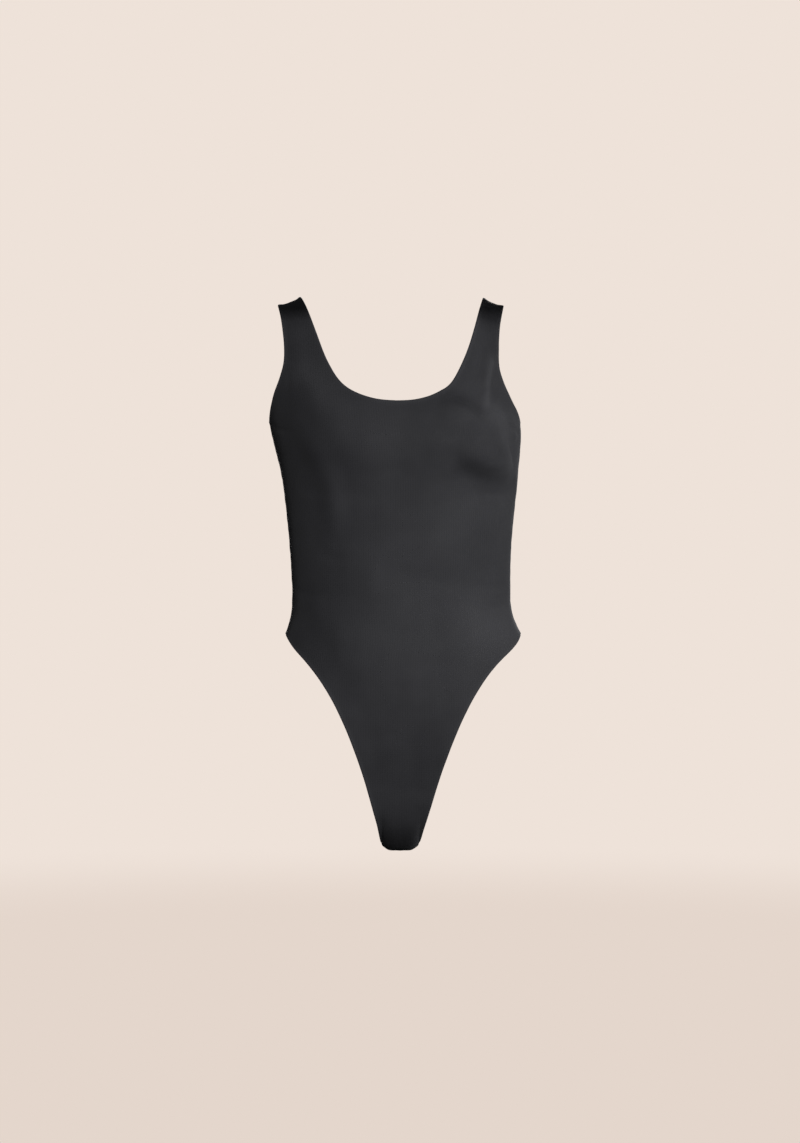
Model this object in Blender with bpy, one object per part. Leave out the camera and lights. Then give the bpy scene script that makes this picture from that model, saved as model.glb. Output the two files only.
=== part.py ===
"""Sleeveless high-leg bodysuit in double stretch jersey, filled out as it is worn.

Metres, +Z up.  The front faces -Y and +X is the viewer's right.  The origin lies midway
between the two shoulder seams, at the crest of the straps, where shoulders hold it up.

Each panel is a loft on one smooth form.  GIRTH runs round that form's middle, down the
front and up the back, and SIDES gives its half width at each height.  The cut edges are
short tables of points seen from the front, and each is laid on the form.
"""

from collections import namedtuple

import bmesh
import bpy
import numpy as np

MM = 0.001

# Cloth, in millimetres
WALL = 1.6  # two layers of jersey
SEAM_GAP = 0.3  # left open between two panels
CLOTH_COLOUR = (0.034, 0.034, 0.037, 1.0)
CLOTH_ROUGHNESS = 0.72

# Grid of each panel: strips from the middle to the edge, and courses down each block
STRIPS = 11
STRAP_COURSES = 15
WAIST_COURSES = 14
LEG_COURSES = 17
EDGE_PACE = 0.4  # strips and courses get this much shorter towards cut edges and seams

# Form
SQUARENESS = 2.25  # 2 is an ellipse, more is a flatter front with fuller sides
SHOULDER_SLOPE = 0.38  # the crest falls this much for each unit outwards
SHOULDER_START = 108.0  # from this far out
SHOULDER_REACH = 55.0  # and the slope has died away this far below the crest
BUST_OUT = 70.0
BUST_HEIGHT = -168.0
BUST_RISE = 22.0
BUST_OUTWARDS = 58.0  # the fullness dies away this far towards the side
BUST_INWARDS = 68.0  # and the two meet in between, where taut cloth bridges
BUST_ABOVE = 72.0  # soft above
BUST_BELOW = 44.0  # and shorter below
CROTCH_CURL = 5.5  # the strip's edges stand this much above its middle
CROTCH_CURL_HALF = 20.0  # at this half width
CROTCH_CURL_POWER = 4  # flat in the middle, turned up at the edges
CROTCH_CURL_MOST = 1.3  # and no further out than this share of it
CROTCH_CURL_TOP = -590.0
LEAN = 11.0  # hips stand this far to +X of the shoulders, as worn
LEAN_TOP = -70.0
LEAN_BOTTOM = -235.0

Along = namedtuple("Along", "y z")
GIRTH = (  # round the middle of the form: crest, down the front, crotch, up the back
    Along(0, 0),
    Along(-20, -5),
    Along(-37, -20),
    Along(-56, -55),
    Along(-77, -100),
    Along(-91, -140),
    Along(-94, -180),
    Along(-90, -230),
    Along(-85, -290),
    Along(-82, -350),
    Along(-86, -410),
    Along(-86, -465),
    Along(-76, -520),
    Along(-59, -569),
    Along(-40, -611),
    Along(-15, -635),
    Along(14, -650),
    Along(38, -640),
    Along(63, -613),
    Along(90, -565),
    Along(108, -500),
    Along(103, -440),
    Along(82, -385),
    Along(67, -330),
    Along(69, -270),
    Along(84, -205),
    Along(96, -145),
    Along(94, -95),
    Along(76, -50),
    Along(46, -18),
    Along(22, -4),
)
CREST = 0  # rows of GIRTH where the panels meet
CROTCH = 16

Side = namedtuple("Side", "z half_width")
SIDES = (
    Side(20, 150),
    Side(-60, 151),
    Side(-110, 150),
    Side(-147, 147),
    Side(-170, 144.5),
    Side(-200, 139.5),
    Side(-240, 134.5),
    Side(-290, 129.5),
    Side(-330, 127),
    Side(-355, 126.5),
    Side(-375, 129.5),
    Side(-394, 137),
    Side(-420, 147),
    Side(-460, 155),
    Side(-510, 158),
    Side(-580, 156),
    Side(-660, 150),
)
UNDERARM = -147.0
HIP_POINT = -394.0
HIP_MIDDLE = -398.0  # the course through the hip points crosses the middle here

Edge = namedtuple("Edge", "x z")
FRONT_NECK = (  # from the shoulder seam to the middle
    Edge(108, 0),
    Edge(103.5, -11),
    Edge(97, -31),
    Edge(90.5, -51),
    Edge(83.5, -70),
    Edge(74.5, -89),
    Edge(61.5, -108),
    Edge(45, -119),
    Edge(24, -126),
    Edge(0, -128),
)
BACK_NECK = (
    Edge(108, 0),
    Edge(106, -12),
    Edge(103, -35),
    Edge(99, -65),
    Edge(92, -100),
    Edge(79, -132),
    Edge(56, -160),
    Edge(28, -176),
    Edge(0, -181),
)
FRONT_ARMHOLE = (  # from the shoulder seam to the underarm
    Edge(132, -9.1),
    Edge(129, -22),
    Edge(126, -42),
    Edge(124.3, -64),
    Edge(125.5, -86),
    Edge(131, -104),
    Edge(138.5, -121),
    Edge(144.5, -136),
    Edge(147, UNDERARM),
)
BACK_ARMHOLE = (
    Edge(132, -9.1),
    Edge(127.5, -25),
    Edge(122.5, -55),
    Edge(120.5, -85),
    Edge(125, -112),
    Edge(136, -133),
    Edge(144.5, -143),
    Edge(147, UNDERARM),
)
FRONT_LEG = (  # from the hip point to the crotch seam
    Edge(137, HIP_POINT),
    Edge(132, -402.5),
    Edge(115.5, -420.5),
    Edge(93, -447.5),
    Edge(72, -483.5),
    Edge(56.5, -520),
    Edge(43.5, -557.5),
    Edge(32.5, -596),
    Edge(25, -626),
    Edge(21.5, -641),
    Edge(20, -645),
)
BACK_LEG = (
    Edge(137, HIP_POINT),
    Edge(127, -404),
    Edge(106, -423),
    Edge(82, -450),
    Edge(60, -485),
    Edge(44, -521),
    Edge(32, -558),
    Edge(25, -596),
    Edge(21, -625),
    Edge(20, -640),
    Edge(20, -645),
)

Panel = namedtuple("Panel", "name facing neck armhole leg")  # facing is along Y
PANELS = (
    Panel("front_panel", -1, FRONT_NECK, FRONT_ARMHOLE, FRONT_LEG),
    Panel("back_panel", 1, BACK_NECK, BACK_ARMHOLE, BACK_LEG),
)

SHARP_DEGREES = 50.0  # the wall's rims stay crisp
SAMPLES = 400  # along a panel's middle, when a height is looked up
NUDGE = 0.05  # step along the surface when its slope is measured
STATION_SCALE = 200.0  # that step across, as a share of a panel's half width


def chords(points):
    """Distance along a run of points, from the first."""
    steps = np.linalg.norm(np.diff(points, axis=0), axis=1)
    return np.concatenate([[0.0], np.cumsum(steps)])


def spline(at, values, closed=False):
    """A cubic through values at the given places, smooth to the second derivative."""
    at = np.asarray(at, float)
    values = np.asarray(values, float).reshape(len(at), -1)
    gap = np.diff(at)
    slope = np.diff(values, axis=0) / gap[:, None]
    count = len(at)
    system = np.eye(count)
    bend = np.zeros_like(values)
    for i in range(1, count - 1):
        system[i, i - 1 : i + 2] = gap[i - 1], 2 * (gap[i - 1] + gap[i]), gap[i]
        bend[i] = 6 * (slope[i] - slope[i - 1])
    if closed:
        system[0, [0, 1, -2]] = 2 * (gap[0] + gap[-1]), gap[0], gap[-1]
        bend[0] = 6 * (slope[0] - slope[-1])
        system[-1, [0, -1]] = 1, -1
    bend = np.linalg.solve(system, bend)

    def curve(where):
        where = np.asarray(where, float)
        if closed:
            where = where % at[-1]
        k = np.clip(np.searchsorted(at, where) - 1, 0, count - 2)
        a = (where - at[k])[..., None]
        b = (at[k + 1] - where)[..., None]
        h = gap[k][..., None]
        out = (bend[k] * b**3 + bend[k + 1] * a**3) / (6 * h)
        out += (values[k] / h - bend[k] * h / 6) * b
        out += (values[k + 1] / h - bend[k + 1] * h / 6) * a
        return out

    return curve


def rounded(share):
    """Bends a sine or cosine from an ellipse to the form's squarer section."""
    return np.sign(share) * np.abs(share) ** (2 / SQUARENESS)


def smooth_step(t):
    t = np.clip(t, 0, 1)
    return t * t * (3 - 2 * t)


class Form:
    """The smooth figure that the cloth lies on, in millimetres."""

    def __init__(self):
        loop = np.array(GIRTH + GIRTH[:1], float)
        self.stations = chords(loop)
        self.girth = spline(self.stations, loop, closed=True)
        sides = np.array(SIDES)[::-1]
        self.half_width = spline(sides[:, 0], sides[:, 1])

    def span(self, facing):
        """Stations of the shoulder seam and the crotch seam on one panel."""
        end = len(GIRTH) if facing > 0 else CREST
        return self.stations[end], self.stations[CROTCH]

    def height(self, x, girth):
        """Height of the surface, with the sloping shoulder and the curled crotch strip."""
        z = girth[..., 1]
        shoulder = 1 - smooth_step(-z / SHOULDER_REACH)
        crotch = smooth_step((CROTCH_CURL_TOP - z) / (CROTCH_CURL_TOP - GIRTH[CROTCH].z))
        z = z - SHOULDER_SLOPE * shoulder * (x - SHOULDER_START)
        out = np.minimum(np.abs(x) / CROTCH_CURL_HALF, CROTCH_CURL_MOST)
        return z + CROTCH_CURL * crotch * out**CROTCH_CURL_POWER

    def bust(self, x, z):
        """How far the cloth stands out over the two halves of the bust."""
        up = z - BUST_HEIGHT
        up = up / np.where(up > 0, BUST_ABOVE, BUST_BELOW)
        rise = 0
        for side in (1, -1):
            across = side * x - BUST_OUT
            across = across / np.where(across > 0, BUST_OUTWARDS, BUST_INWARDS)
            rise = rise + np.exp(-(across**2) - up**2)
        return BUST_RISE * rise

    def point(self, across, station, facing):
        """Place on the surface: across is 0 at the middle and 1 at the side seam."""
        turn = across * np.pi / 2
        girth = self.girth(station)
        x = self.half_width(girth[..., 1])[..., 0] * rounded(np.sin(turn))
        z = self.height(x, girth)
        depth = girth[..., 0]
        if facing < 0:
            depth = depth - self.bust(x, z)
        return np.stack([x, depth * rounded(np.cos(turn)), z], axis=-1)

    def normal(self, across, station, facing):
        """Outwards from the surface."""
        along = self.point(across, station + NUDGE, facing)
        along -= self.point(across, station - NUDGE, facing)
        over = self.point(across + NUDGE / STATION_SCALE, station, facing)
        over -= self.point(across - NUDGE / STATION_SCALE, station, facing)
        out = np.cross(along, over)
        return out / np.linalg.norm(out, axis=-1, keepdims=True)

    def laid(self, edge, facing):
        """(across, station) of points that are given as seen from the front."""
        places = []
        stations = np.linspace(*self.span(facing), SAMPLES)
        for x, z in edge:
            heights = self.height(x, self.girth(stations))
            station = np.interp(-z, -heights, stations)
            half = self.half_width(self.girth(station)[..., 1])[0]
            share = min(x / half, 1.0) ** (SQUARENESS / 2)
            places.append((np.arcsin(share) * 2 / np.pi, station))
        return np.array(places)


def paced(steps, ends):
    """From 0 to 1, with shorter steps towards the last end, or towards both."""
    t = np.linspace(0, 1, steps + 1)
    if ends == 2:
        return t - EDGE_PACE * np.sin(2 * np.pi * t) / (2 * np.pi)
    return t + EDGE_PACE * np.sin(np.pi * t) / np.pi


def run(points, courses):
    """Places along a smooth curve through a few points, closer towards its ends."""
    at = chords(points)
    return spline(at, points)(at[-1] * paced(courses, 2))


def edge_run(form, edge, facing, courses):
    """A cut edge as (across, station), a place for each course."""
    return form.laid(run(np.array(edge, float), courses), facing)


def straight(start, end, pace):
    t = pace[:, None]
    return np.array(start) * (1 - t) + np.array(end) * t


def half_places(form, panel):
    """(across, station) of the +X half: a row for each course, from inner to outer edge."""
    neck = edge_run(form, panel.neck, panel.facing, STRAP_COURSES)
    armhole = edge_run(form, panel.armhole, panel.facing, STRAP_COURSES)
    leg = edge_run(form, panel.leg, panel.facing, LEG_COURSES)
    armhole[-1, 0] = leg[0, 0] = 1.0
    waist = np.linspace(0, 1, WAIST_COURSES + 1)
    hip = form.laid([Edge(0, HIP_MIDDLE)], panel.facing)[0]
    crotch = (0.0, leg[-1, 1])
    down_middle = straight(neck[-1], hip, waist)
    to_crotch = straight(hip, crotch, paced(LEG_COURSES, 2))
    side_seam = straight(armhole[-1], leg[0], waist)
    inner = np.concatenate([neck, down_middle[1:], to_crotch[1:]])[:, None]
    outer = np.concatenate([armhole, side_seam[1:], leg[1:]])[:, None]
    strip = paced(STRIPS, 1)[None, :, None]
    return inner * (1 - strip) + outer * strip


def half_faces(form, panel):
    """Points of the +X half on the outer and the inner face of the cloth."""
    across, station = np.moveaxis(half_places(form, panel), -1, 0)
    outer = form.point(across, station, panel.facing)
    inner = outer - WALL * form.normal(across, station, panel.facing)
    for points in (outer, inner):
        points[..., 1] += panel.facing * SEAM_GAP / 2
    return outer, inner


def leaned(points, side):
    """Points of one side, in metres, with the hips moved over from the shoulders."""
    lean = LEAN * smooth_step((LEAN_TOP - points[..., 2]) / (LEAN_TOP - LEAN_BOTTOM))
    out = points * (side, 1, 1)
    out[..., 0] += lean
    return out * MM


def add_sheet(mesh, half):
    """Both halves of one face of a panel, joined down the middle below the neck."""
    grids = []
    for side in (1, -1):
        grid = [[mesh.verts.new(place) for place in row] for row in leaned(half, side)]
        grids.append(grid)
    for right, left in zip(grids[0][STRAP_COURSES:], grids[1][STRAP_COURSES:]):
        mesh.verts.remove(left[0])
        left[0] = right[0]
    for grid in grids:
        for upper, lower in zip(grid, grid[1:]):
            for k in range(STRIPS):
                mesh.faces.new([upper[k], lower[k], lower[k + 1], upper[k + 1]])


def panel_mesh(form, panel):
    """A panel's wall: its outer and inner faces, closed by a rim round every edge."""
    mesh = bmesh.new()
    outer, inner = half_faces(form, panel)
    for points in (outer, inner):
        add_sheet(mesh, points)
    rims = [edge for edge in mesh.edges if edge.is_boundary]
    bmesh.ops.bridge_loops(mesh, edges=rims)
    bmesh.ops.recalc_face_normals(mesh, faces=mesh.faces)
    data = bpy.data.meshes.new(panel.name)
    mesh.to_mesh(data)
    mesh.free()
    data.shade_smooth()
    data.set_sharp_from_angle(angle=np.radians(SHARP_DEGREES))
    return data


def cloth_material():
    material = bpy.data.materials.new("double_jersey")
    material.use_nodes = True
    shader = material.node_tree.nodes["Principled BSDF"]
    shader.inputs["Base Color"].default_value = CLOTH_COLOUR
    shader.inputs["Roughness"].default_value = CLOTH_ROUGHNESS
    shader.inputs["Metallic"].default_value = 0.0
    return material


def add_panel(form, panel, collection):
    piece = bpy.data.objects.new(panel.name, panel_mesh(form, panel))
    collection.objects.link(piece)
    piece.data.materials.append(cloth_material())
    return piece


def main():
    for obj in list(bpy.data.objects):
        bpy.data.objects.remove(obj)
    collection = bpy.data.collections.new("athletics_bodysuit")
    bpy.context.scene.collection.children.link(collection)
    form = Form()
    for panel in PANELS:
        add_panel(form, panel, collection)


main()
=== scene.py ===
"""Looks of a sleeveless high-leg bodysuit in double jersey with elastane, filled out as it is worn.

Millimetres in the tables and metres on the objects, +Z up, and the front faces -Y.  The two
panels repeat the form and the cut of the CAD panels on a finer grid.  What cloth has is then
laid on them: rolled edges, seams, creases, a knit and its sheen.
"""

from collections import namedtuple

import bmesh
import bpy
import numpy as np
from bpy.props import FloatProperty, FloatVectorProperty, PointerProperty
from mathutils import Euler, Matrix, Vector


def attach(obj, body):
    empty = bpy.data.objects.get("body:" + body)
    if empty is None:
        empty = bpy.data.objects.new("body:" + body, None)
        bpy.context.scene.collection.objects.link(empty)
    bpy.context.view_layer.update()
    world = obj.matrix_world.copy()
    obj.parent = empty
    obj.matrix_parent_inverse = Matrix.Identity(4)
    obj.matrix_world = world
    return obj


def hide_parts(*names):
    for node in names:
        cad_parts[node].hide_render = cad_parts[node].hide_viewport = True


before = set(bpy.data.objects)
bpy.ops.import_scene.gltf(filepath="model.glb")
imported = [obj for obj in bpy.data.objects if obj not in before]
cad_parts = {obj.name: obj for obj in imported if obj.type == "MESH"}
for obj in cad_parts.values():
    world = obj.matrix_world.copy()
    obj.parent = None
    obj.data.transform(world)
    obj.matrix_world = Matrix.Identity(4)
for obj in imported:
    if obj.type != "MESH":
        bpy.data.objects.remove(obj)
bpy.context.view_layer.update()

bl_info = {
    "name": "Athletics Bodysuit",
    "version": (1, 0, 0),
    "blender": (4, 5, 0),
    "location": "3D View > Sidebar > Bodysuit",
    "description": "Models the two jersey panels of a worn bodysuit and a plain stage for it",
    "category": "Object",
}

MM = 0.001


def linear(code):
    """The linear colour, with alpha, of an sRGB hex value."""
    parts = [int(code[k : k + 2], 16) / 255 for k in (1, 3, 5)]
    return [c / 12.92 if c <= 0.04045 else ((c + 0.055) / 1.055) ** 2.4 for c in parts] + [1]


# ------------------------ form and cut

SEAM_GAP = 0.3  # left open between two panels

# Grid of each panel: strips from the middle to the edge, and courses down each block
STRIPS = 64
STRAP_COURSES = 84
WAIST_COURSES = 96
LEG_COURSES = 100
EDGE_PACE = 0.4  # strips and courses get this much shorter towards cut edges and seams

SQUARENESS = 2.25  # 2 is an ellipse, more is a flatter front with fuller sides
SHOULDER_SLOPE = 0.38  # the crest falls this much for each unit outwards
SHOULDER_START = 108.0  # from this far out
SHOULDER_REACH = 55.0  # and the slope has died away this far below the crest
BUST_OUT = 70.0
BUST_HEIGHT = -168.0
BUST_RISE = 22.0
BUST_OUTWARDS = 58.0  # the fullness dies away this far towards the side
BUST_INWARDS = 68.0  # and the two meet in between, where taut cloth bridges
BUST_ABOVE = 72.0  # soft above
BUST_BELOW = 44.0  # and shorter below
CROTCH_CURL = 5.5  # the strip's edges stand this much above its middle
CROTCH_CURL_HALF = 20.0  # at this half width
CROTCH_CURL_POWER = 4  # flat in the middle, turned up at the edges
CROTCH_CURL_MOST = 1.1  # and no further out than this share of it, a little less than in the CAD
CROTCH_CURL_TOP = -590.0
LEAN = 11.0  # hips stand this far to +X of the shoulders, as worn
LEAN_TOP = -70.0
LEAN_BOTTOM = -235.0

# Worn cloth lies a little unevenly: each pull moves it along X, round a place on it
Pull = namedtuple("Pull", "x z across up by")
PULLS = (
    Pull(0, -62, 114, 95, 3.2),  # neck
    Pull(150, -354, 62, 42, 2.2),  # +X side of the waist
    Pull(0, -397, 400, 22, 2.8),  # hip points
    Pull(150, -116, 60, 28, -2.8),  # +X armhole
    Pull(-150, -108, 60, 28, -1.6),  # -X armhole
    Pull(150, -45, 42, 40, -1.5),  # outer edge of the +X strap
    Pull(-70, -45, 38, 40, 1.4),  # inner edge of the -X strap
)
PULL_POWER = 8  # level across the cloth, then gone

# Round the middle of the form, as (y, z): crest, down the front, crotch, up the back
GIRTH = (
    (0, 0), (-20, -5), (-37, -20), (-56, -55), (-77, -100), (-91, -140), (-94, -180),
    (-90, -230), (-85, -290), (-82, -350), (-86, -410), (-86, -465), (-76, -520), (-59, -569),
    (-40, -611), (-15, -635), (14, -650), (38, -640), (63, -613), (90, -565), (108, -500),
    (103, -440), (82, -385), (67, -330), (69, -270), (84, -205), (96, -145), (94, -95),
    (76, -50), (46, -18), (22, -4),
)
CREST = 0  # rows of GIRTH where the panels meet
CROTCH = 16
CROTCH_HEIGHT = GIRTH[CROTCH][1]

# Half widths of the form, as (z, half width)
SIDES = (
    (20, 150), (-60, 151), (-110, 150), (-147, 147), (-170, 144.5), (-200, 139.5),
    (-240, 134.5), (-290, 129.5), (-330, 127), (-355, 126.5), (-375, 129.5), (-394, 137),
    (-420, 147), (-460, 155), (-510, 158), (-580, 156), (-660, 150),
)
UNDERARM = -147.0
HIP_POINT = -394.0
HIP_MIDDLE = -398.0  # the course through the hip points crosses the middle here

# Cut edges, as (x, z) seen from the front
FRONT_NECK = (  # from the shoulder seam to the middle
    (108, 0), (103.5, -11), (97, -31), (90.5, -51), (83.5, -70), (74.5, -89), (61.5, -108),
    (45, -119), (24, -126), (0, -128),
)
BACK_NECK = (
    (108, 0), (106, -12), (103, -35), (99, -65), (92, -100), (79, -132), (56, -160), (28, -176),
    (0, -181),
)
FRONT_ARMHOLE = (  # from the shoulder seam to the underarm
    (132, -9.1), (129, -22), (126, -42), (124.3, -64), (125.5, -86), (131, -104), (138.5, -121),
    (144.5, -136), (147, UNDERARM),
)
BACK_ARMHOLE = (
    (132, -9.1), (127.5, -25), (122.5, -55), (120.5, -85), (125, -112), (136, -133),
    (144.5, -143), (147, UNDERARM),
)
FRONT_LEG = (  # from the hip point to the crotch seam
    (137, HIP_POINT), (132, -402.5), (115.5, -420.5), (93, -447.5), (72, -483.5), (56.5, -520),
    (43.5, -557.5), (32.5, -596), (25, -626), (21.5, -641), (20, -645),
)
BACK_LEG = (
    (137, HIP_POINT), (127, -404), (106, -423), (82, -450), (60, -485), (44, -521), (32, -558),
    (25, -596), (21, -625), (20, -640), (20, -645),
)

# ------------------------ cloth on the form

EDGE_REACH = 2.6  # a turned edge is thicker over about this much
SEAM_DIP_REACH = 1.4  # half width of the groove along a seam
ALLOWANCE = 6.5  # turnings under a seam lift the cloth this far to each side
ALLOWANCE_FADE = 2.0
ALLOWANCE_RISE = 0.35
PUCKER_REACH = 9.0  # sewing gathers the cloth a little beside a seam
PUCKER_RISE = 0.11
PUCKERS = (13.0, 21.0, 34.0)  # their uneven lengths along the seam
SEAM_BULGE = 0.25  # a seam's two edges meet over the gap
SEAM_NEAR = 0.6  # and this close to a seam the rim is its edge
SEAM_HOLD = 9.0  # a seam holds its two panels together, and creases fade out this close to it
RIM_STEPS = 6  # faces round a rolled edge
EDGE_RUB = 3.0  # an edge is rubbed over about this much
SEAM_SHADE = 1.3  # and along a seam the colour is painted darker, as shade in its groove, over about this much
CREST_SAG = 1.5  # cloth between a strap's edges sinks this much on the shoulder
CREST_SAG_LENGTH = 26.0
CREST_SAG_EDGE = 5.0

# A crease runs through points that are seen from the front.  A fold is a step: the cloth to
# the left of its line, looking along it, stands out over the cloth to the right.
Crease = namedtuple("Crease", "depth width points fold", defaults=(0.0,))  # + is a trough
FRONT_CREASES = (
    # +X bust: a taut line up into the strap, the hollows beside it, and the folds under it
    Crease(-1.0, 7.0, ((107, -46), (109, -76), (107, -104), (104, -134))),
    Crease(0, 5.4, ((108, -146), (111, -118), (114, -92), (116, -64)), 2.4),
    Crease(-3.4, 14.0, ((104, -112), (122, -138), (133, -154), (137, -172))),
    Crease(0.5, 8.0, ((98, -70), (96, -92), (91, -112))),
    Crease(0, 7.5, ((50, -124), (70, -128), (88, -134), (102, -146)), -4.6),
    Crease(0, 12.0, ((60, -193), (84, -204), (104, -210), (120, -210), (132, -203)), 10.8),
    Crease(3.0, 11.0, ((80, -230), (106, -237), (131, -229))),
    Crease(-1.2, 7.0, ((112, -218), (122, -215), (134, -207))),
    Crease(1.7, 3.8, ((143, -161), (136, -157), (126, -151))),
    Crease(0.8, 3.0, ((144, -163), (136, -170), (124, -172))),
    # -X bust, softer
    Crease(-0.5, 9.0, ((-109, -52), (-108, -76), (-104, -98), (-94, -116))),
    Crease(0.5, 5.0, ((-120, -86), (-120, -106), (-124, -126))),
    Crease(-3.4, 34.0, ((-124, -214), (-70, -222), (-24, -220), (16, -220), (50, -232))),
    Crease(
        -3.6, 18.0,
        ((-124, -130), (-116, -150), (-102, -178), (-92, -196), (-82, -224), (-81, -305)),
    ),
    Crease(0.6, 8.0, ((-74, -228), (-98, -230), (-120, -222))),
    Crease(1.0, 3.6, ((-144, -152), (-134, -158), (-120, -160))),
    # waist and belly: faint, long and level
    Crease(4.4, 26.0, ((-30, -322), (32, -334), (104, -340))),
    Crease(0.9, 10.0, ((-96, -300), (-66, -309), (-30, -308))),
    Crease(0.8, 7.0, ((124, -334), (104, -340), (82, -338))),
    Crease(0.9, 6.0, ((-124, -342), (-106, -348), (-80, -346))),
    Crease(0.6, 5.0, ((122, -358), (106, -362), (92, -360))),
    # pulls from the hip points towards the crotch
    Crease(
        0, 17.0,
        ((-114, -362), (-97, -386), (-84, -406), (-70, -427), (-58, -450), (-47, -482)), 3.4,
    ),
    Crease(1.2, 13.0, ((112, -388), (92, -404), (70, -428), (54, -456))),
    Crease(-0.7, 6.0, ((124, -404), (104, -424), (84, -448))),
    # lengthwise in the narrow strip
    Crease(0.9, 13.0, ((-34, -480), (-31, -522), (-24, -575))),
    Crease(0.3, 9.0, ((17, -530), (14, -572), (11, -612))),
)
BACK_CREASES = (
    # pulls from the straps over the shoulder blades
    Crease(-0.9, 5.0, ((113, -40), (112, -70), (110, -100), (104, -128))),
    Crease(-0.8, 5.5, ((-112, -34), (-111, -62), (-108, -96), (-100, -122))),
    Crease(1.2, 5.0, ((121, -96), (124, -118), (134, -138))),
    Crease(1.0, 5.0, ((-120, -92), (-122, -112), (-131, -134))),
    Crease(0.9, 4.6, ((140, -154), (130, -159), (112, -160))),
    Crease(1.0, 5.0, ((-141, -153), (-130, -158), (-110, -161))),
    Crease(0.6, 4.4, ((139, -170), (126, -174), (110, -172))),
    # the hollow of the back: a bridged lengthwise dip with level folds across it
    Crease(1.8, 13.0, ((2, -196), (0, -250), (-1, -306), (1, -352))),
    Crease(2.1, 8.0, ((-78, -320), (-34, -330), (8, -328), (52, -334))),
    Crease(1.6, 7.0, ((80, -343), (38, -351), (0, -348), (-44, -352))),
    Crease(0.8, 5.0, ((-96, -338), (-72, -343), (-48, -340))),
    Crease(0.8, 7.0, ((22, -302), (52, -308), (88, -304))),
    Crease(0.7, 6.0, ((122, -346), (104, -350), (84, -346))),
    Crease(0.8, 6.0, ((-122, -336), (-106, -341), (-88, -338))),
    # pulls at the seat, from the hip points
    Crease(1.4, 10.0, ((118, -392), (92, -402), (64, -420), (44, -446))),
    Crease(1.2, 11.0, ((-116, -390), (-88, -400), (-62, -418), (-40, -440))),
    Crease(-0.7, 6.0, ((122, -404), (98, -420), (74, -446))),
    Crease(-0.7, 6.0, ((-122, -404), (-96, -422), (-76, -444))),
    Crease(1.6, 8.0, ((0, -470), (1, -512), (0, -556), (1, -592))),
    Crease(0.6, 5.0, ((-14, -560), (-12, -592), (-11, -620))),
    Crease(0.5, 4.5, ((13, -552), (12, -590), (11, -616))),
)
CREASE_SAMPLES = 26
CREASE_SHOULDER = 0.45  # how much the cloth rises beside a trough
CREASE_TAPER = 0.8  # less is a crease that keeps its depth for longer towards its ends
FOLD_SPREAD = 3.2  # a fold has died away this many widths from its line

# Painted light: along these lines the colour is painted paler as a highlight, with a sharper
# border to the right of a line where edge says so.  A share below 0 paints darker shade.
Taut = namedtuple("Taut", "share width points edge", defaults=(1.0,))
MOST_PAINTED_SHADE = 0.4  # painted shade from lines that cross adds up to no more than this
# Front: painted highlights on the +X strap and bust, the +X hip and the -X bust and hip; painted
# shade on the +X strap top, above the +X bust and on its inner side
FRONT_PAINTED_LIGHT = (
    Taut(0.30, 6.5, ((106, -130), (108.5, -116), (113, -96), (117, -80)), 0.5),
    Taut(0.30, 16.0, ((114, -141), (121, -150), (123, -162))),
    Taut(-0.17, 13.0, ((114, -12), (116, -30), (118, -48), (119, -66))),
    Taut(-0.16, 9.0, ((106, -26), (116, -28), (127, -29))),
    Taut(-0.15, 13.0, ((58, -117), (76, -125), (94, -133))),
    Taut(-0.11, 22.0, ((62, -164), (84, -172), (102, -178))),
    Taut(0.32, 28.0, ((90, -389), (112, -387), (134, -383))),
    Taut(0.30, 18.0, ((-104, -90), (-92, -104), (-84, -122))),
    Taut(0.08, 14.0, ((-92, -446), (-76, -474), (-62, -506))),
)
# Back: paler along the pulls from the straps and at the seat, as painted highlights
BACK_PAINTED_LIGHT = (
    Taut(0.14, 14.0, ((108, -96), (100, -122), (84, -150))),
    Taut(0.14, 14.0, ((-108, -92), (-99, -120), (-82, -148))),
    Taut(0.12, 30.0, ((92, -392), (72, -424), (54, -470))),
    Taut(0.12, 30.0, ((-92, -392), (-70, -426), (-52, -468))),
)

Wave = namedtuple("Wave", "rise across along turn")  # slow unevenness: size and wavelengths
WAVES = (
    Wave(0.30, 173, 121, 0.6),
    Wave(0.22, 97, 141, 2.1),
    Wave(0.14, 71, 53, 4.0),
    Wave(0.09, 43, 61, 1.3),
)

# Facing is along Y, and the cut is the flat width and length in metres, with its area
Panel = namedtuple("Panel", "name facing neck armhole leg creases taut cut cut_area")
FRONT_PANEL = Panel(
    "front_panel", -1, FRONT_NECK, FRONT_ARMHOLE, FRONT_LEG, FRONT_CREASES, FRONT_PAINTED_LIGHT,
    (0.345, 0.700), 0.131,
)
BACK_PANEL = Panel(
    "back_panel", 1, BACK_NECK, BACK_ARMHOLE, BACK_LEG, BACK_CREASES, BACK_PAINTED_LIGHT,
    (0.315, 0.735), 0.113,
)

SHARP_DEGREES = 65.0
SAMPLES = 400  # along a panel's middle, when a height is looked up
NUDGE = 0.05  # step along the surface when its slope is measured
STATION_SCALE = 200.0  # about a half width on the surface, which makes that step a share of it
FLAT_STATIONS = 200  # table that lays a panel out flat
FLAT_ACROSS = 65
SHORTEST = 1e-12  # keeps a line's piece of no length from dividing by zero


def chords(points):
    """Distance along a run of points, from the first."""
    steps = np.linalg.norm(np.diff(points, axis=0), axis=1)
    return np.concatenate([[0.0], np.cumsum(steps)])


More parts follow.
